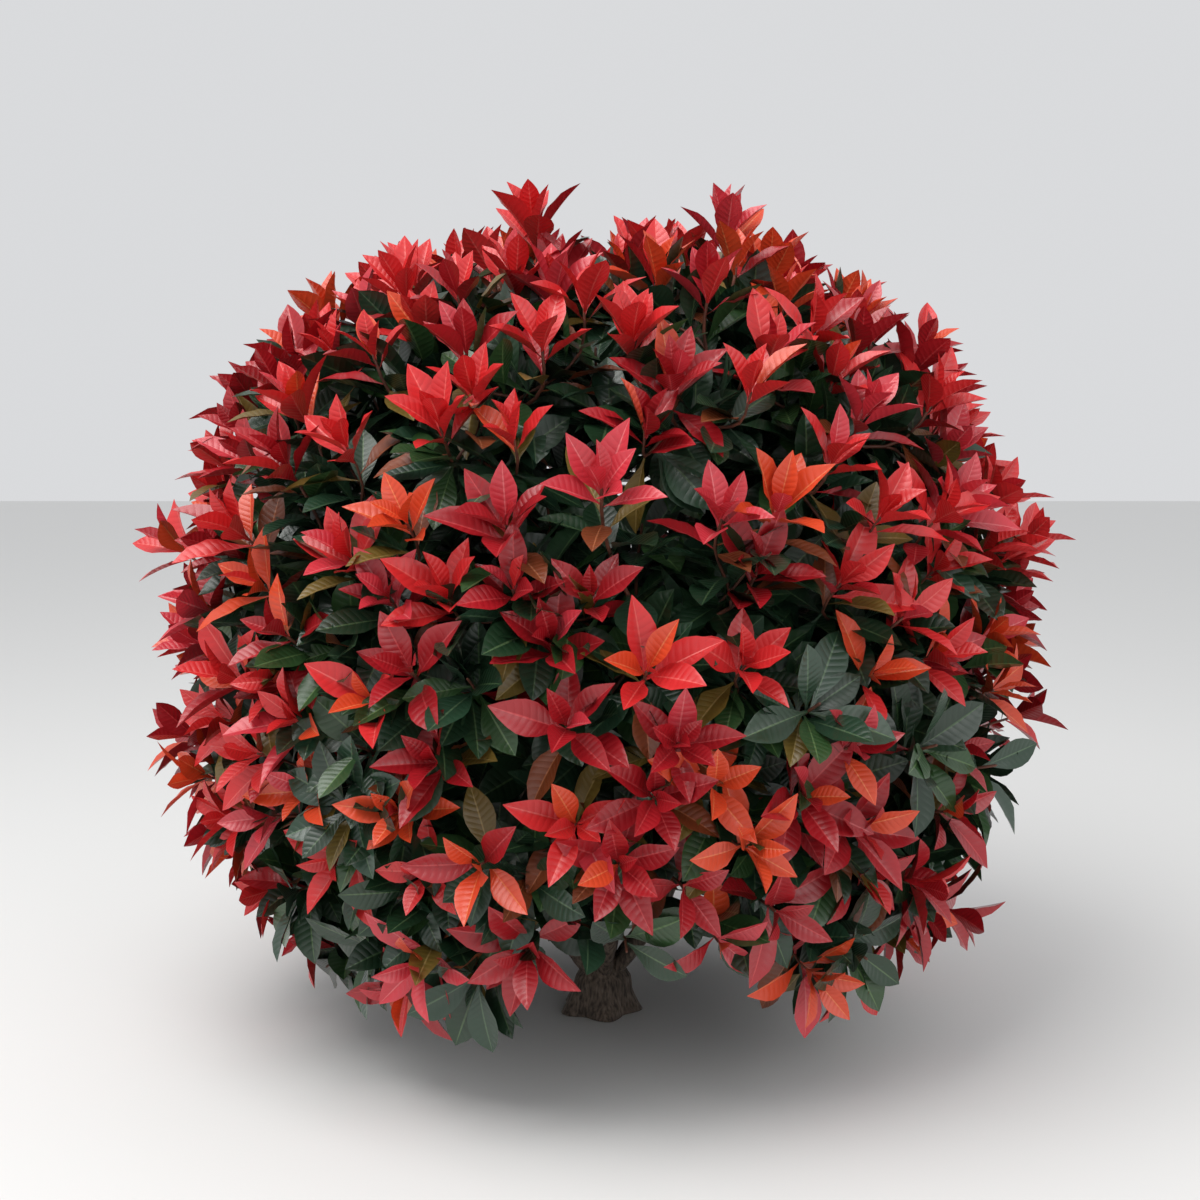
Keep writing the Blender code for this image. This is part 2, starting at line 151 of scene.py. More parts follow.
def main_shoots():
    """The shoots that end the main twigs."""
    leaders = []
    for index, (azimuth, elevation, reach) in enumerate(LEADERS):
        leaders.append(shoot_at(f"leader_{index}", aim(azimuth, elevation), reach, WHORL_DEPTH))
    shoots = list(leaders)
    for index in range(SHOOTS):
        rng = random.Random(f"{SEED} shoot {index}")
        way = golden_way(rng, index, SHOOTS)
        reach = crown_reach(way) * (1 - rng.uniform(0, REACH_JITTER))
        shoot = shoot_at(f"shoot_{index}", way, reach, WHORL_DEPTH)
        crowded = any((shoot.heart - lead.heart).length < WHORL_DEPTH for lead in leaders)
        if not in_arch(way) and not crowded:
            shoots.append(shoot)
    return shoots


def mass_ways():
    """Each mass's name and the way it lies from the crown's centre."""
    ways = {}
    for ring, elevation, count, first in MASS_RINGS:
        for index in range(count):
            name = ring if count == 1 else f"{ring}_{index + 1}"
            ways[name] = aim(first + index * 360 / count, elevation)
    return ways


def mass_of(point):
    return max(MASS_WAYS, key=lambda name: (point - CROWN_CENTRE).dot(MASS_WAYS[name]))


def drawn_in(point, name):
    """A shoot's heart, drawn in from the edge of its mass's space."""
    for other, way in MASS_WAYS.items():
        if other != name:
            normal = (MASS_WAYS[name] - way).normalized()
            point = point + normal * max(0.0, HEART_MARGIN - (point - CROWN_CENTRE).dot(normal))
    return point


def bow(start, start_way, end, end_way, steps):
    """Points of a smooth curve that leaves start along start_way and reaches end along end_way."""
    handle = (end - start).length * BOW_HANDLE
    return interpolate_bezier(start, start + start_way * handle, end - end_way * handle, end, steps)


MASS_WAYS = mass_ways()
SHOOTS_OF = {name: [] for name in MASS_WAYS}
for planned in main_shoots():
    owner = mass_of(planned.heart)
    SHOOTS_OF[owner].append(planned._replace(heart=drawn_in(planned.heart, owner)))

# The trunk, stems and boughs: grey-brown wood, thick as a thumb at the foot. Each limb is a closed tapering
# shell whose foot sits inside its parent and whose end runs on into its mass, with fissures along the bark.
TRUNK_HEIGHT = 0.085
FLARE_RADIUS = 0.056
WAIST_RADIUS = 0.037
FLARE_LOBES = 5
FLARE_POWER = 2.2
LOBE_DEPTH = 0.13
LOBE_TURN = 0.6
NECK_FROM = 0.6
NECK_DRAW = 0.45
TRUNK_LEAN = Vector((0.006, -0.004, 0.0))
STUB_LENGTH = 0.082
STUB_SLOPE = 52.0
CENTRE_SLOPE = 88.0
STEM_FOOT_SHARE = 0.5
STEM_FOOT_OFFSET = 0.012
STEM_RADIUS = 0.0120
BOUGH_RADIUS = 0.0082
LIMB_TIP_RADIUS = 0.0050
COLLAR = 0.010
LIMB_STEPS = 20
SKIRT_FORK = 0.22
CROWN_FORK = 0.55
SKIRT_FORK_LEAN = 0.3
CROWN_FORK_LEAN = 0.5
FORK_TAPER = 0.85
MASS_STEM_TIP_RADIUS = 0.0036
MASS_STEM_STEPS = 6
WOOD_RING_SPACING = 0.003
WOOD_SIDES = 14
TRUNK_SIDES = 60
TRUNK_RINGS = 28
FISSURE_DEPTH = 0.0011
FISSURE_LENGTH = 0.030
FISSURES_ROUND = 2.2
FISSURE_SINK = 0.35
KNOT_DEPTH = 0.0014
KNOT_LENGTH = 0.035

Limb = namedtuple("Limb", "points radii end way")


def limb_from(start, start_way, end, end_way, radii):
    """A limb's points: a straight collar, a bow, and a straight end."""
    first = start + start_way * COLLAR
    last = end - end_way * COLLAR
    return Limb([start, *bow(first, start_way, last, end_way, LIMB_STEPS), end], radii, end, end_way)


def along(limb, share):
    """A point on a limb's line, the way the line runs there and the limb's radius there."""
    place = share * (len(limb.points) - 1)
    index = min(int(place), len(limb.points) - 2)
    a, b = limb.points[index], limb.points[index + 1]
    return a.lerp(b, place - index), (b - a).normalized(), blend(*limb.radii, share)


def ring_of(name):
    return name.rstrip("0123456789_")


def mass_root(name):
    """Where a mass's stem starts, and the way it sets off."""
    out = MASS_WAYS[name]
    way = (out + Vector((0, 0, UPWARD_PULL[0]))).normalized()
    return CROWN_CENTRE + out * CORE_REACH - way * (CORE_REACH - MASS_ROOT_REACH[ring_of(name)]), way


def stem_limbs():
    """Each stem, from inside the trunk to the mass that it carries."""
    stems = {}
    for name, out in MASS_WAYS.items():
        if ring_of(name) not in ("top_mass", "shoulder_mass"):
            continue
        azimuth = math.degrees(math.atan2(out.y, out.x))
        way = aim(azimuth, CENTRE_SLOPE if name == "top_mass" else STUB_SLOPE)
        foot = Vector((0, 0, TRUNK_HEIGHT * STEM_FOOT_SHARE)) + TRUNK_LEAN * STEM_FOOT_SHARE
        foot += Vector((way.x, way.y, 0)) * STEM_FOOT_OFFSET
        root, root_way = mass_root(name)
        limb = limb_from(foot + way * STUB_LENGTH, way, root, root_way, (STEM_RADIUS, LIMB_TIP_RADIUS))
        stems[name] = (foot, limb)
    return stems


def side_limb(name, stems):
    """The bough that leaves the nearest stem for a mass of the upper or the lowest ring."""
    out = MASS_WAYS[name]
    high = ring_of(name) == "crown_mass"
    spread = [limb for mass, (_, limb) in stems.items() if mass != "top_mass"]
    parent = max(spread, key=lambda limb: Vector((out.x, out.y, 0)).dot(limb.end))
    start, run, radius = along(parent, CROWN_FORK if high else SKIRT_FORK)
    root, root_way = mass_root(name)
    lean = CROWN_FORK_LEAN if high else SKIRT_FORK_LEAN
    start_way = ((root - start).normalized() + run * lean).normalized()
    radii = (min(BOUGH_RADIUS, radius * FORK_TAPER), LIMB_TIP_RADIUS)
    return limb_from(start, start_way, root, root_way, radii)


def bark_relief(turn, travel, offset):
    """How far the bark stands off at a turn round a limb and a travel along it: fissures and low knots."""
    x, y = math.cos(turn), math.sin(turn)
    grain = Vector((x * FISSURES_ROUND, y * FISSURES_ROUND, travel / FISSURE_LENGTH + offset))
    knot = Vector((x, y, travel / KNOT_LENGTH - offset))
    fissure = abs(noise.noise(grain)) * 2 - FISSURE_SINK
    return fissure * FISSURE_DEPTH + noise.noise(knot) * KNOT_DEPTH


def even_line(points, spacing):
    """The points of a line, spread evenly along it at about that spacing."""
    travel = [0.0]
    for a, b in zip(points[:-1], points[1:]):
        travel.append(travel[-1] + (b - a).length)
    spread = np.linspace(0.0, travel[-1], max(2, round(travel[-1] / spacing)) + 1)
    axes = [np.interp(spread, travel, [point[axis] for point in points]) for axis in range(3)]
    return [Vector(place) for place in zip(*axes)]


def limb_rings(points, radii, offset):
    """Rings of points round a tapering limb, with its bark's relief."""
    line = even_line(points, WOOD_RING_SPACING)
    across = (line[1] - line[0]).orthogonal().normalized()
    rings = []
    for index, point in enumerate(line):
        run = (line[min(index + 1, len(line) - 1)] - line[max(index - 1, 0)]).normalized()
        across = (across - run * across.dot(run)).normalized()
        beside = run.cross(across)
        radius = blend(*radii, index / (len(line) - 1))
        ring = []
        for side in range(WOOD_SIDES):
            turn = 2 * math.pi * side / WOOD_SIDES
            relief = bark_relief(turn, index * WOOD_RING_SPACING, offset) * radius / STEM_RADIUS
            ring.append(point + (across * math.cos(turn) + beside * math.sin(turn)) * (radius + relief))
        rings.append(ring)
    return rings


def trunk_rings():
    """Rings of the trunk: a lobed flare, flat at the ground, drawn in and leaning at its top."""
    rings = []
    for step in range(TRUNK_RINGS + 1):
        up = step / TRUNK_RINGS
        spread = (1 - up) ** FLARE_POWER
        neck = 1 - NECK_DRAW * max(0.0, up - NECK_FROM) / (1 - NECK_FROM)
        radius = blend(WAIST_RADIUS, FLARE_RADIUS, spread) * neck
        ring = []
        for side in range(TRUNK_SIDES):
            turn = 2 * math.pi * side / TRUNK_SIDES
            reach = radius * (1 + LOBE_DEPTH * spread * math.cos(FLARE_LOBES * turn + LOBE_TURN))
            reach += bark_relief(turn, up * TRUNK_HEIGHT, 0.0)
            flat = Vector((math.cos(turn), math.sin(turn), 0)) * reach
            ring.append(flat + Vector((0, 0, up * TRUNK_HEIGHT)) + TRUNK_LEAN * up)
        rings.append(ring)
    return rings


def closed_shell(rings):
    """The places and faces of a closed shell over rings with the same count of points."""
    sides = len(rings[0])
    places = [point for ring in rings for point in ring]
    faces = []
    for ring in range(len(rings) - 1):
        for side in range(sides):
            a = ring * sides + side
            b = ring * sides + (side + 1) % sides
            faces.append((a, b, b + sides, a + sides))
    last = (len(rings) - 1) * sides
    faces.append(tuple(reversed(range(sides))))
    faces.append(tuple(range(last, last + sides)))
    return places, faces


def mesh_object(name, places, faces):
    """A smooth-shaded mesh object in the scene."""
    mesh = bpy.data.meshes.new(name)
    mesh.from_pydata(places, [], faces)
    mesh.shade_smooth()
    made = bpy.data.objects.new(name, mesh)
    bpy.context.scene.collection.objects.link(made)
    return made


def grown_wood():
    """All the wood as one mesh: the trunk, and each limb from inside its parent to the middle of its mass."""
    stems = stem_limbs()
    shells = [closed_shell(trunk_rings())]
    for number, name in enumerate(MASS_WAYS, 1):
        foot, limb = stems[name] if name in stems else (None, side_limb(name, stems))
        heart = CROWN_CENTRE + MASS_WAYS[name] * CORE_REACH
        line = [*limb.points, *bow(limb.end, limb.way, heart, limb.way, MASS_STEM_STEPS)[1:]]
        if foot:
            line.insert(0, foot)
        shells.append(closed_shell(limb_rings(line, (limb.radii[0], MASS_STEM_TIP_RADIUS), number)))
    places, faces = [], []
    for shell_places, shell_faces in shells:
        base = len(places)
        places.extend(shell_places)
        faces.extend(tuple(base + corner for corner in face) for face in shell_faces)
    return mesh_object("trunk_and_boughs", places, faces)


def bark_material():
    """Grey-brown bark: darker along its grain, and blotched."""
    finish = bpy.data.materials.new("bark")
    finish.use_nodes = True
    tree = finish.node_tree
    shader = tree.nodes["Principled BSDF"]
    place = tree.nodes.new("ShaderNodeTexCoord")
    stretch = tree.nodes.new("ShaderNodeMapping")
    stretch.inputs["Scale"].default_value = (1.0, 1.0, 0.22)
    grain = tree.nodes.new("ShaderNodeTexNoise")
    grain.inputs["Scale"].default_value = 260.0
    grain.inputs["Detail"].default_value = 5.0
    patches = tree.nodes.new("ShaderNodeTexNoise")
    patches.inputs["Scale"].default_value = 34.0
    patches.inputs["Detail"].default_value = 3.0
    tint = tree.nodes.new("ShaderNodeValToRGB")
    tint.color_ramp.elements[0].position = 0.34
    tint.color_ramp.elements[0].color = (0.030, 0.020, 0.014, 1)
    tint.color_ramp.elements[1].position = 0.68
    tint.color_ramp.elements[1].color = (0.165, 0.125, 0.095, 1)
    mix = tree.nodes.new("ShaderNodeMix")
    mix.data_type = "RGBA"
    mix.blend_type = "OVERLAY"
    mix.inputs["Factor"].default_value = 0.45
    bump = tree.nodes.new("ShaderNodeBump")
    bump.inputs["Strength"].default_value = 0.55
    bump.inputs["Distance"].default_value = 0.0012
    link = tree.links.new
    link(place.outputs["Object"], stretch.inputs["Vector"])
    link(stretch.outputs["Vector"], grain.inputs["Vector"])
    link(place.outputs["Object"], patches.inputs["Vector"])
    link(grain.outputs["Fac"], tint.inputs["Fac"])
    link(tint.outputs["Color"], mix.inputs["A"])
    link(patches.outputs["Fac"], mix.inputs["B"])
    link(mix.outputs["Result"], shader.inputs["Base Color"])
    link(grain.outputs["Fac"], bump.inputs["Height"])
    link(bump.outputs["Normal"], shader.inputs["Normal"])
    shader.inputs["Roughness"].default_value = 0.82
    return finish


wood = grown_wood()
wood.data.materials.append(bark_material())
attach(wood, "root")
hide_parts(*[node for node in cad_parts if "mass" not in node])

# The twigs: red-brown wood thinner than a pencil, with the bark still smooth. Main twigs leave the middle of
# their mass, and finer ones leave the main twigs, each ending in a bud with its whorl of leaves. Short inner
# ones carry the green leaves that close the crown behind the red tips.
FINE_SHOOTS = 430
FINE_SPACING = (0.055, 0.068)
INNER_SHOOTS = 190
INNER_REACH = (0.62, 0.80)
INNER_PLACE = 2
FINE_DEPTH = 0.056
WHORL_STRETCH = 0.036
FINE_JITTER = 0.05
TWIG_RADII = (0.0034, 0.0019)
FINE_TWIG_RADII = (0.0023, 0.0017)
TWIG_SIDES = 6
TWIG_STEPS = 9
FINE_TWIG_STEPS = 7
FINE_PLACES = (3, 6)
TWIG_POINT = 1.5
TWIG_LEAN = 0.3
TWIG_COLLAR = 0.030
LOWEST_TWIG = 0.09

Twig = namedtuple("Twig", "shoot line radii")


def twig_line(start, start_way, shoot, steps):
    """A twig's points from its start, rising to a shoot's heart and ending straight."""
    collar = shoot.heart - shoot.way * TWIG_COLLAR
    leave = (shoot.heart - start).normalized().lerp(start_way, TWIG_LEAN).normalized()
    return [*bow(start, leave, collar, shoot.way, steps), shoot.heart]


def branched(mains, shoot, place):
    """A fine twig to a shoot from that place along the nearest main twig."""
    parent = min(mains, key=lambda twig: (twig.shoot.heart - shoot.heart).length)
    run = (parent.line[place + 1] - parent.line[place]).normalized()
    return Twig(shoot, twig_line(parent.line[place], run, shoot, FINE_TWIG_STEPS), FINE_TWIG_RADII)


def grown_twigs():
    """All twigs: the main ones by mass, the finer ones where there is room between hearts, the inner ones."""
    twigs = []
    for name, shoots in SHOOTS_OF.items():
        heart = CROWN_CENTRE + MASS_WAYS[name] * CORE_REACH
        for planned in shoots:
            shoot = planned._replace(heart=planned.heart + planned.way * WHORL_STRETCH)
            twigs.append(Twig(shoot, twig_line(heart, MASS_WAYS[name], shoot, TWIG_STEPS), TWIG_RADII))
    mains = list(twigs)
    for index in range(FINE_SHOOTS):
        rng = random.Random(f"{SEED} fine shoot {index}")
        way = golden_way(rng, index, FINE_SHOOTS)
        reach = crown_reach(way) * (1 - rng.uniform(0, FINE_JITTER))
        shoot = shoot_at(f"fine_{index}", way, reach, FINE_DEPTH)
        spacing = blend(*FINE_SPACING, shoot.openness)
        crowded = any((shoot.heart - twig.shoot.heart).length < spacing for twig in twigs)
        if crowded or in_arch(way) or shoot.heart.z < LOWEST_TWIG:
            continue
        twigs.append(branched(mains, shoot, rng.randint(*FINE_PLACES)))
    for index in range(INNER_SHOOTS):
        rng = random.Random(f"{SEED} inner shoot {index}")
        way = golden_way(rng, index, INNER_SHOOTS)
        shoot = shoot_at(f"inner_{index}", way, crown_reach(way) * rng.uniform(*INNER_REACH), 0.0)
        if not in_arch(way):
            twigs.append(branched(mains, shoot, INNER_PLACE))
    return twigs


def joined_tubes(name, tubes, sides):
    """Tapering tubes, each (points, radii), as one mesh object: open at the foot and pointed at the tip."""
    places, faces = [], []
    for points, radii in tubes:
        base = len(places)
        across = (points[1] - points[0]).orthogonal().normalized()
        for index, point in enumerate(points):
            run = (points[min(index + 1, len(points) - 1)] - points[max(index - 1, 0)]).normalized()
            across = (across - run * across.dot(run)).normalized()
            beside = run.cross(across)
            radius = blend(*radii, index / (len(points) - 1))
            for side in range(sides):
                turn = 2 * math.pi * side / sides
                places.append(point + (across * math.cos(turn) + beside * math.sin(turn)) * radius)
        for ring in range(len(points) - 1):
            for side in range(sides):
                a = base + ring * sides + side
                b = base + ring * sides + (side + 1) % sides
                faces.append((a, b, b + sides, a + sides))
        last = base + (len(points) - 1) * sides
        places.append(points[-1] + (points[-1] - points[-2]).normalized() * radii[1] * TWIG_POINT)
        faces.extend((last + side, last + (side + 1) % sides, len(places) - 1) for side in range(sides))
    return mesh_object(name, places, faces)


def twig_material():
    """Smooth red-brown bark of one- and two-year wood, pitted with small pores."""
    finish = bpy.data.materials.new("twig_bark")
    finish.use_nodes = True
    tree = finish.node_tree
    shader = tree.nodes["Principled BSDF"]
    place = tree.nodes.new("ShaderNodeTexCoord")
    streaks = tree.nodes.new("ShaderNodeTexNoise")
    streaks.inputs["Scale"].default_value = 60.0
    streaks.inputs["Detail"].default_value = 4.0
    tint = tree.nodes.new("ShaderNodeValToRGB")
    tint.color_ramp.elements[0].position = 0.30
    tint.color_ramp.elements[0].color = (0.060, 0.022, 0.014, 1)
    tint.color_ramp.elements[1].position = 0.72
    tint.color_ramp.elements[1].color = (0.190, 0.060, 0.034, 1)
    pores = tree.nodes.new("ShaderNodeTexVoronoi")
    pores.inputs["Scale"].default_value = 420.0
    bump = tree.nodes.new("ShaderNodeBump")
    bump.inputs["Strength"].default_value = 0.35
    bump.inputs["Distance"].default_value = 0.0004
    link = tree.links.new
    link(place.outputs["Object"], streaks.inputs["Vector"])
    link(place.outputs["Object"], pores.inputs["Vector"])
    link(streaks.outputs["Fac"], tint.inputs["Fac"])
    link(tint.outputs["Color"], shader.inputs["Base Color"])
    link(pores.outputs["Distance"], bump.inputs["Height"])
    link(bump.outputs["Normal"], shader.inputs["Normal"])
    shader.inputs["Roughness"].default_value = 0.55
    return finish


TWIGS = grown_twigs()
twigs = joined_tubes("twigs", [(twig.line, twig.radii) for twig in TWIGS], TWIG_SIDES)
twigs.data.materials.append(twig_material())
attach(twigs, "root")
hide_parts(*[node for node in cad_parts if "mass" in node])

# The leaves: each a blade a hand's width long, folded along a sunk rib, arched back at its tip, with a short
# stalk. Young ones stand in whorls at the shoot tips, older green ones sit in a spiral down the twigs and in
# whorls inside the crown and low on it. They are joined by tint, and each tint is one plain colour.
LEAF_STATIONS = 9
RIB_SHARE = 0.055
LEAF_ACROSS = (-1.0, -0.52, -RIB_SHARE, RIB_SHARE, 0.52, 1.0)
STALK_SHARE = 0.08
STALK_HALF_WIDTH = 0.011
TIP_HALF_WIDTH = 0.004
STATION_CROWDING = 0.92
ARCH_RISE = 0.35
WAVE_TURNS = 17.0
WAVE_OFFSET = 1.4
PHYLLOTAXIS = 137.5
YOUNG_LENGTH = (0.074, 0.104)
YOUNG_COUNT = (6, 9)
YOUNG_STEP = 0.0042
YOUNG_SPLAY_UPRIGHT = (11.0, 47.0)
YOUNG_SPLAY_OPEN = (30.0, 80.0)
YOUNG_TINTS = ("scarlet", "crimson", "rose", "flame")
YOUNG_WEIGHTS_HIGH = (0.46, 0.28, 0.14, 0.12)
YOUNG_WEIGHTS_LOW = (0.34, 0.36, 0.08, 0.22)
HIGH_OPENNESS = 0.5
OPENING_POWER = 1.4
WHORL_SIZE = (0.88, 1.08)
SPLAY_JITTER = 7
FIRST_LEAF_SHARE = 0.70
FULL_SIZE_PACE = 1.7
YOUNG_BLADES = ("young_folded", "young_flat", "young_wavy")
YOUNG_BLADE_WEIGHTS = (0.45, 0.3, 0.25)
SAME_TINT_SHARE = 0.8
FACE_JITTER = 0.25
TURNING_COUNT = (1, 3)
TURNING_LENGTH = (0.080, 0.102)
GREEN_COUNT = (11, 14)
GREEN_LENGTH = (0.082, 0.112)
GREEN_SPLAY = (52.0, 92.0)
# The bluish green tint's colour is a painted sky sheen on the older leaves.
# The darkest green tint is painted shade, dealt at random among the older leaves.
GREEN_TINTS = ("dark_green", "deep_green", "mid_green", "sheen_green")
GREEN_WEIGHTS = (0.30, 0.26, 0.20, 0.24)
GREEN_BLADES = ("green_flat", "green_cupped")
TURNING_TINTS = ("bronze", "olive", "crimson")
TURNING_WEIGHTS = (0.45, 0.3, 0.25)
OLDER_START = 0.004
OLDER_STEPS = (0.006, 0.0125)
OLDER_SPAN = 0.92
OLDER_LAST = 0.96
TURN_JITTER = 15
HANG = (-0.25, 0.15)
FACE_LEAN = 0.7
GREEN_WHORL_COUNT = 9
GREEN_WHORL_SPLAY = (34.0, 88.0)
GREEN_SHARE_LOW = 0.80
GREEN_WHORL_SET_BACK = 0.022
GREEN_SHARE_FROM = 0.42
LOWEST_LEAF_TIP = 0.045

Blade = namedtuple("Blade", "width widest bluntness fold arch wave rib")
BLADES = {
    "young_folded": Blade(0.185, 1.10, 1.00, 0.62, 0.16, 0.010, 0.010),
    "young_flat": Blade(0.205, 1.16, 0.96, 0.30, 0.24, 0.014, 0.010),
    "young_wavy": Blade(0.195, 1.12, 0.98, 0.45, 0.08, 0.022, 0.010),
    "green_flat": Blade(0.215, 1.28, 0.86, 0.18, 0.12, 0.008, 0.008),
    "green_cupped": Blade(0.225, 1.34, 0.84, 0.34, 0.20, 0.012, 0.008),
}


def blade_template(blade):
    """The points, faces and map of one leaf of unit length along +X, upper face towards +Z."""
    points, maps = [], []
    for station in range(LEAF_STATIONS):
        t = (station / (LEAF_STATIONS - 1)) ** STATION_CROWDING
        s = max(0.0, (t - STALK_SHARE) / (1 - STALK_SHARE))
        lobe = max(0.0, math.sin(math.pi * min(1.0, s) ** blade.widest)) ** blade.bluntness
        half = max(STALK_HALF_WIDTH * (1 - s), blade.width * lobe)
        if station == LEAF_STATIONS - 1:
            half = TIP_HALF_WIDTH
        for v in LEAF_ACROSS:
            y = v * half
            z = blade.fold * abs(y) - blade.arch * t**2 + blade.arch * ARCH_RISE * t
            z += blade.wave * math.sin(t * WAVE_TURNS + (WAVE_OFFSET if v > 0 else 0.0)) * abs(v) * lobe
            z -= blade.rib * lobe if abs(v) == RIB_SHARE else 0.0
            points.append((t, y, z))
            maps.append((t, 0.5 + v / 2))
    faces = []
    width = len(LEAF_ACROSS)
    for station in range(LEAF_STATIONS - 1):
        for side in range(width - 1):
            a = station * width + side
            faces.append((a, a + width, a + width + 1, a + 1))
    return np.array(points), np.array(faces), np.array(maps)


TEMPLATES = {name: blade_template(blade) for name, blade in BLADES.items()}


def leaf_matrix(root, lie, up, length):
    """The matrix that lays a unit leaf along lie from root, its upper face towards up."""
    face = (up - lie * up.dot(lie)).normalized()
    across = face.cross(lie)
    frame_of_leaf = Matrix((lie, across, face)).transposed().to_4x4()
    return Matrix.Translation(root) @ frame_of_leaf @ Matrix.Scale(length, 4)


def splayed(run, side, splay, turn):
    """The way of a leaf that leans splay degrees off run, turned round it from side."""
    around = side.copy()
    around.rotate(Matrix.Rotation(math.radians(turn), 3, run))
    return (run * math.cos(math.radians(splay)) + around * math.sin(math.radians(splay))).normalized()


SPRAYS = {name: [] for name in (*YOUNG_TINTS, "bronze", "olive", *GREEN_TINTS)}


def add_leaf(tint, blade, root, lie, up, length):
    """Deals a leaf to its tint, unless it would hang over the arch or down to the ground."""
    tip = root + lie * length
    if tip.z > LOWEST_LEAF_TIP and not in_arch((tip - CROWN_CENTRE).normalized()):
        SPRAYS[tint].append((blade, leaf_matrix(root, lie, up, length)))


def young_whorl(rng, shoot):
    """Deals the red whorl at a shoot's tip, upright high on the crown and opened to a star low down.

    Returns the turn that the next leaf starts from."""
    weights = YOUNG_WEIGHTS_HIGH if shoot.openness < HIGH_OPENNESS else YOUNG_WEIGHTS_LOW
    tint = rng.choices(YOUNG_TINTS, weights)[0]
    opened = shoot.openness**OPENING_POWER
    splays = [blend(a, b, opened) for a, b in zip(YOUNG_SPLAY_UPRIGHT, YOUNG_SPLAY_OPEN)]
    side = shoot.way.orthogonal().normalized()
    first = rng.uniform(0, 360)
    count = rng.randint(*YOUNG_COUNT)
    size = rng.uniform(*WHORL_SIZE)
    for index in range(count):
        share = index / (count - 1)
        splay = blend(*splays, share) + rng.uniform(-SPLAY_JITTER, SPLAY_JITTER)
        lie = splayed(shoot.way, side, splay, first + index * PHYLLOTAXIS)
        root = shoot.heart - shoot.way * YOUNG_STEP * index
        grown = blend(FIRST_LEAF_SHARE, 1.0, min(1.0, share * FULL_SIZE_PACE))
        length = rng.uniform(*YOUNG_LENGTH) * size * grown
        blade = rng.choices(YOUNG_BLADES, YOUNG_BLADE_WEIGHTS)[0]
        own = tint if rng.random() < SAME_TINT_SHARE else rng.choice(YOUNG_TINTS)
        nod = Vector([rng.uniform(-FACE_JITTER, FACE_JITTER) for _ in range(3)])
        up = (shoot.way + nod).normalized()
        add_leaf(own, blade, root, lie, up, length)
    return first + count * PHYLLOTAXIS


def green_whorl(rng, shoot):
    """Deals a wide-open whorl of older leaves near a shoot's tip, and returns the next leaf's turn."""
    side = shoot.way.orthogonal().normalized()
    first = rng.uniform(0, 360)
    for index in range(GREEN_WHORL_COUNT):
        lie = splayed(shoot.way, side, rng.uniform(*GREEN_WHORL_SPLAY), first + index * PHYLLOTAXIS)
        root = shoot.heart - shoot.way * (GREEN_WHORL_SET_BACK + YOUNG_STEP * index)
        tint = rng.choices(GREEN_TINTS, GREEN_WEIGHTS)[0]
        blade = rng.choice(GREEN_BLADES)
        add_leaf(tint, blade, root, lie, shoot.way, rng.uniform(*GREEN_LENGTH))
    return first + GREEN_WHORL_COUNT * PHYLLOTAXIS


def point_on(line, distance):
    """The point that distance back from the end of a line, and the way the line runs there."""
    left = distance
    for a, b in zip(reversed(line[:-1]), reversed(line[1:])):
        length = (b - a).length
        if left <= length:
            return b.lerp(a, left / length), (b - a).normalized()
        left -= length
    return line[0], (line[1] - line[0]).normalized()


def older_leaves(rng, twig, first):
    """The turning leaves just under the whorl, then the green ones down the twig."""
    total = sum((b - a).length for a, b in zip(twig.line[:-1], twig.line[1:]))
    back = YOUNG_STEP * YOUNG_COUNT[1] + OLDER_START
    turning = rng.randint(*TURNING_COUNT)
    greens = rng.randint(*GREEN_COUNT)
    step = (total * OLDER_SPAN - back) / (turning + greens)
    step = min(OLDER_STEPS[1], max(OLDER_STEPS[0], step))
    for index in range(turning + greens):
        root, run = point_on(twig.line, min(back + step * index, total * OLDER_LAST))
        side = run.orthogonal().normalized()
        splay = rng.uniform(*GREEN_SPLAY)
        turn = first + index * PHYLLOTAXIS + rng.uniform(-TURN_JITTER, TURN_JITTER)
        lie = splayed(run, side, splay, turn)
        lie = (lie + Vector((0, 0, rng.uniform(*HANG)))).normalized()
        up = (Vector((0, 0, 1)) + run * FACE_LEAN).normalized()
        if index < turning:
            tint = rng.choices(TURNING_TINTS, TURNING_WEIGHTS)[0]
            add_leaf(tint, "young_flat", root, lie, up, rng.uniform(*TURNING_LENGTH))
        else:
            tint = rng.choices(GREEN_TINTS, GREEN_WEIGHTS)[0]
            blade = rng.choice(GREEN_BLADES)
            add_leaf(tint, blade, root, lie, up, rng.uniform(*GREEN_LENGTH))


for twig in TWIGS:
    leaf_rng = random.Random(f"{SEED} leaves {twig.shoot.name}")
    inner = twig.shoot.name.startswith("inner")
    green_share = GREEN_SHARE_LOW * max(0.0, twig.shoot.openness - GREEN_SHARE_FROM)
    if inner or leaf_rng.random() < green_share:
        next_turn = green_whorl(leaf_rng, twig.shoot)
    else:
        next_turn = young_whorl(leaf_rng, twig.shoot)
    if not inner:
        older_leaves(leaf_rng, twig, next_turn)


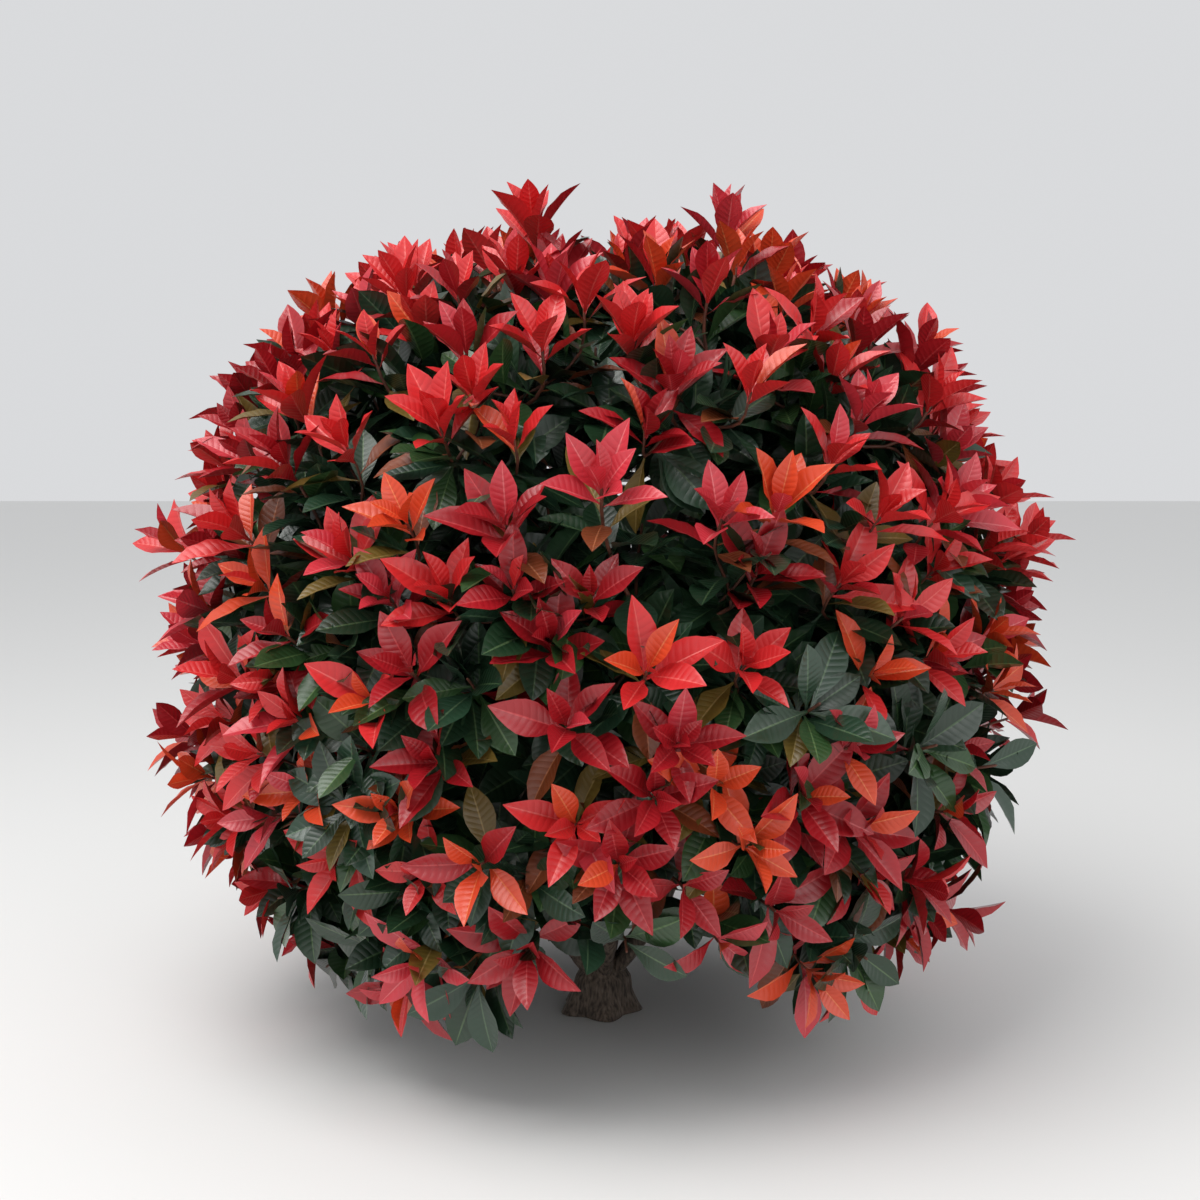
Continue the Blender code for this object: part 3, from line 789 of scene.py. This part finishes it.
def joined_leaves(name, sprays):
    """All leaves of one tint as one mesh object with a map along each leaf, and 1 for each face on a rib."""
    places, faces, maps = [], [], []
    base = 0
    for blade, matrix in sprays:
        points, quads, leaf_map = TEMPLATES[blade]
        places.append(points @ np.array(matrix.to_3x3()).T + np.array(matrix.translation))
        faces.append(quads + base)
        maps.append(leaf_map[quads.ravel()])
        base += len(points)
    places = np.concatenate(places)
    faces = np.concatenate(faces)
    strips = len(LEAF_ACROSS) - 1
    on_rib = (np.arange(len(faces)) % strips == strips // 2).astype(np.int32)
    mesh = bpy.data.meshes.new(name)
    mesh.vertices.add(len(places))
    mesh.vertices.foreach_set("co", places.astype(np.float32).ravel())
    mesh.loops.add(faces.size)
    mesh.loops.foreach_set("vertex_index", faces.astype(np.int32).ravel())
    mesh.polygons.add(len(faces))
    mesh.polygons.foreach_set("loop_start", np.arange(0, faces.size, 4, dtype=np.int32))
    layer = mesh.uv_layers.new(name="leaf_map")
    layer.data.foreach_set("uv", np.concatenate(maps).astype(np.float32).ravel())
    made = bpy.data.objects.new(name, mesh)
    bpy.context.scene.collection.objects.link(made)
    return made, on_rib


VEIN_SLANT = 0.11
MARGIN_POWER = 6.0
VEIN_BUMP = 0.35
VEIN_HEIGHT = 0.0012
COAT_ROUGHNESS = 0.24


def vein_group():
    """The relief of a leaf's blade, read along its map: raised pillows between paired side veins."""
    group = bpy.data.node_groups.new("leaf_veins", "ShaderNodeTree")
    group.interface.new_socket("Vein Pairs", in_out="INPUT", socket_type="NodeSocketFloat")
    group.interface.new_socket("Relief", in_out="OUTPUT", socket_type="NodeSocketFloat")
    inlet = group.nodes.new("NodeGroupInput")
    outlet = group.nodes.new("NodeGroupOutput")
    leaf_map = group.nodes.new("ShaderNodeUVMap")
    leaf_map.uv_map = "leaf_map"
    split = group.nodes.new("ShaderNodeSeparateXYZ")
    group.links.new(leaf_map.outputs["UV"], split.inputs["Vector"])

    def calc(operation, *values):
        node = group.nodes.new("ShaderNodeMath")
        node.operation = operation
        for socket, value in zip(node.inputs, values):
            if isinstance(value, (int, float)):
                socket.default_value = value
            else:
                group.links.new(value, socket)
        return node.outputs[0]

    off_rib = calc("ABSOLUTE", calc("SUBTRACT", calc("MULTIPLY", split.outputs["Y"], 2.0), 1.0))
    slant = calc("SUBTRACT", split.outputs["X"], calc("MULTIPLY", off_rib, VEIN_SLANT))
    phase = calc("FRACT", calc("MULTIPLY", slant, inlet.outputs["Vein Pairs"]))
    off_vein = calc("ABSOLUTE", calc("SUBTRACT", phase, 0.5))
    inside = calc("SUBTRACT", 1.0, calc("POWER", off_rib, MARGIN_POWER))
    pillow = calc("SINE", calc("MULTIPLY", off_vein, math.pi))
    group.links.new(calc("MULTIPLY", pillow, inside), outlet.inputs["Relief"])
    return group


VEINS = vein_group()


def leaf_material(name, colour, pairs, roughness, coat):
    """A leaf's finish: one plain colour, quilted between its side veins, under a waxy coat."""
    finish = bpy.data.materials.new(name)
    finish.use_nodes = True
    tree = finish.node_tree
    shader = tree.nodes["Principled BSDF"]
    veins = tree.nodes.new("ShaderNodeGroup")
    veins.node_tree = VEINS
    veins.inputs["Vein Pairs"].default_value = pairs
    bump = tree.nodes.new("ShaderNodeBump")
    bump.inputs["Strength"].default_value = VEIN_BUMP
    bump.inputs["Distance"].default_value = VEIN_HEIGHT
    tree.links.new(veins.outputs["Relief"], bump.inputs["Height"])
    tree.links.new(bump.outputs["Normal"], shader.inputs["Normal"])
    shader.inputs["Base Color"].default_value = (*colour, 1.0)
    shader.inputs["Roughness"].default_value = roughness
    shader.inputs["Coat Weight"].default_value = coat
    shader.inputs["Coat Roughness"].default_value = COAT_ROUGHNESS
    return finish


LeafFinish = namedtuple("LeafFinish", "slot face rib pairs roughness coat")
LEAF_FINISHES = {
    "scarlet": LeafFinish("young_leaf", (0.600, 0.020, 0.022), (0.70, 0.085, 0.075), 11, 0.38, 0.30),
    "crimson": LeafFinish("young_leaf", (0.360, 0.008, 0.014), (0.52, 0.045, 0.050), 11, 0.36, 0.35),
    "rose": LeafFinish("young_leaf", (0.560, 0.034, 0.050), (0.68, 0.130, 0.140), 11, 0.36, 0.35),
    "flame": LeafFinish("young_leaf", (0.640, 0.060, 0.016), (0.74, 0.170, 0.060), 11, 0.38, 0.30),
    "bronze": LeafFinish("young_leaf", (0.190, 0.045, 0.014), (0.36, 0.120, 0.050), 12, 0.38, 0.30),
    "olive": LeafFinish("old_leaf", (0.150, 0.098, 0.018), (0.30, 0.210, 0.070), 12, 0.40, 0.25),
    "dark_green": LeafFinish("old_leaf", (0.014, 0.042, 0.017), (0.080, 0.140, 0.060), 12, 0.36, 0.35),
    # The darkest green tint is painted shade: a darker copy of dark green meant for the shade inside the
    # crown, though it is dealt at random to all older green leaves.
    "deep_green": LeafFinish("old_leaf", (0.009, 0.028, 0.012), (0.050, 0.095, 0.040), 12, 0.36, 0.35),
    "mid_green": LeafFinish("old_leaf", (0.026, 0.070, 0.020), (0.095, 0.170, 0.060), 12, 0.36, 0.32),
    # The bluish green tint: its face and rib colours are a painted sheen of sky reflection, while its lower
    # roughness and heavier coat are the leaf's real gloss.
    "sheen_green": LeafFinish("old_leaf", (0.018, 0.050, 0.026), (0.075, 0.135, 0.070), 12, 0.30, 0.42),
}

for tint, values in LEAF_FINISHES.items():
    leaves, on_rib = joined_leaves(f"{tint}_leaves", SPRAYS[tint])
    look = (values.pairs, values.roughness, values.coat)
    leaves.data.materials.append(leaf_material(f"{tint}_leaf", values.face, *look))
    leaves.data.materials.append(leaf_material(f"{tint}_rib", values.rib, *look))
    leaves.data.polygons.foreach_set("material_index", on_rib)
    leaves.data.update()
    leaves.data.shade_smooth()
    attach(leaves, "root")

# The floor and the light: a pale studio floor, a broad soft light overhead and a weak one from the front.
FLOOR_SIZE = 14.0
FLOOR_PLACE = (0, 2.0, -0.001)
floor_mesh = bpy.data.meshes.new("floor")
floor_shape = bmesh.new()
bmesh.ops.create_grid(floor_shape, x_segments=4, y_segments=4, size=FLOOR_SIZE / 2)
floor_shape.to_mesh(floor_mesh)
floor_shape.free()
floor = bpy.data.objects.new("floor", floor_mesh)
bpy.context.scene.collection.objects.link(floor)
floor.location = FLOOR_PLACE
floor_finish = bpy.data.materials.new("floor")
floor_finish.use_nodes = True
floor_shader = floor_finish.node_tree.nodes["Principled BSDF"]
floor_shader.inputs["Base Color"].default_value = (0.78, 0.78, 0.77, 1)
floor_shader.inputs["Roughness"].default_value = 0.9
floor.data.materials.append(floor_finish)

SKY = (0.93, 0.94, 0.96, 1)
world = bpy.data.worlds.new("studio")
bpy.context.scene.world = world
world.use_nodes = True
world.node_tree.nodes["Background"].inputs["Color"].default_value = SKY
world.node_tree.nodes["Background"].inputs["Strength"].default_value = 0.75


def soft_light(name, place, target, size, watts, colour):
    """A square area light at place, facing target."""
    lamp = bpy.data.lights.new(name, "AREA")
    lamp.size = size
    lamp.energy = watts
    lamp.color = colour
    held = bpy.data.objects.new(name, lamp)
    bpy.context.scene.collection.objects.link(held)
    held.location = place
    held.rotation_euler = (Vector(target) - Vector(place)).to_track_quat("-Z", "Y").to_euler()


soft_light("overhead", (-1.2, -1.4, 3.6), (0, 0, 0.6), 2.6, 105, (1.0, 0.99, 0.97))
soft_light("front_fill", (2.2, -3.2, 1.8), (0, 0, 0.5), 2.0, 22, (1.0, 1.0, 1.0))
bpy.context.scene.view_settings.view_transform = "Standard"
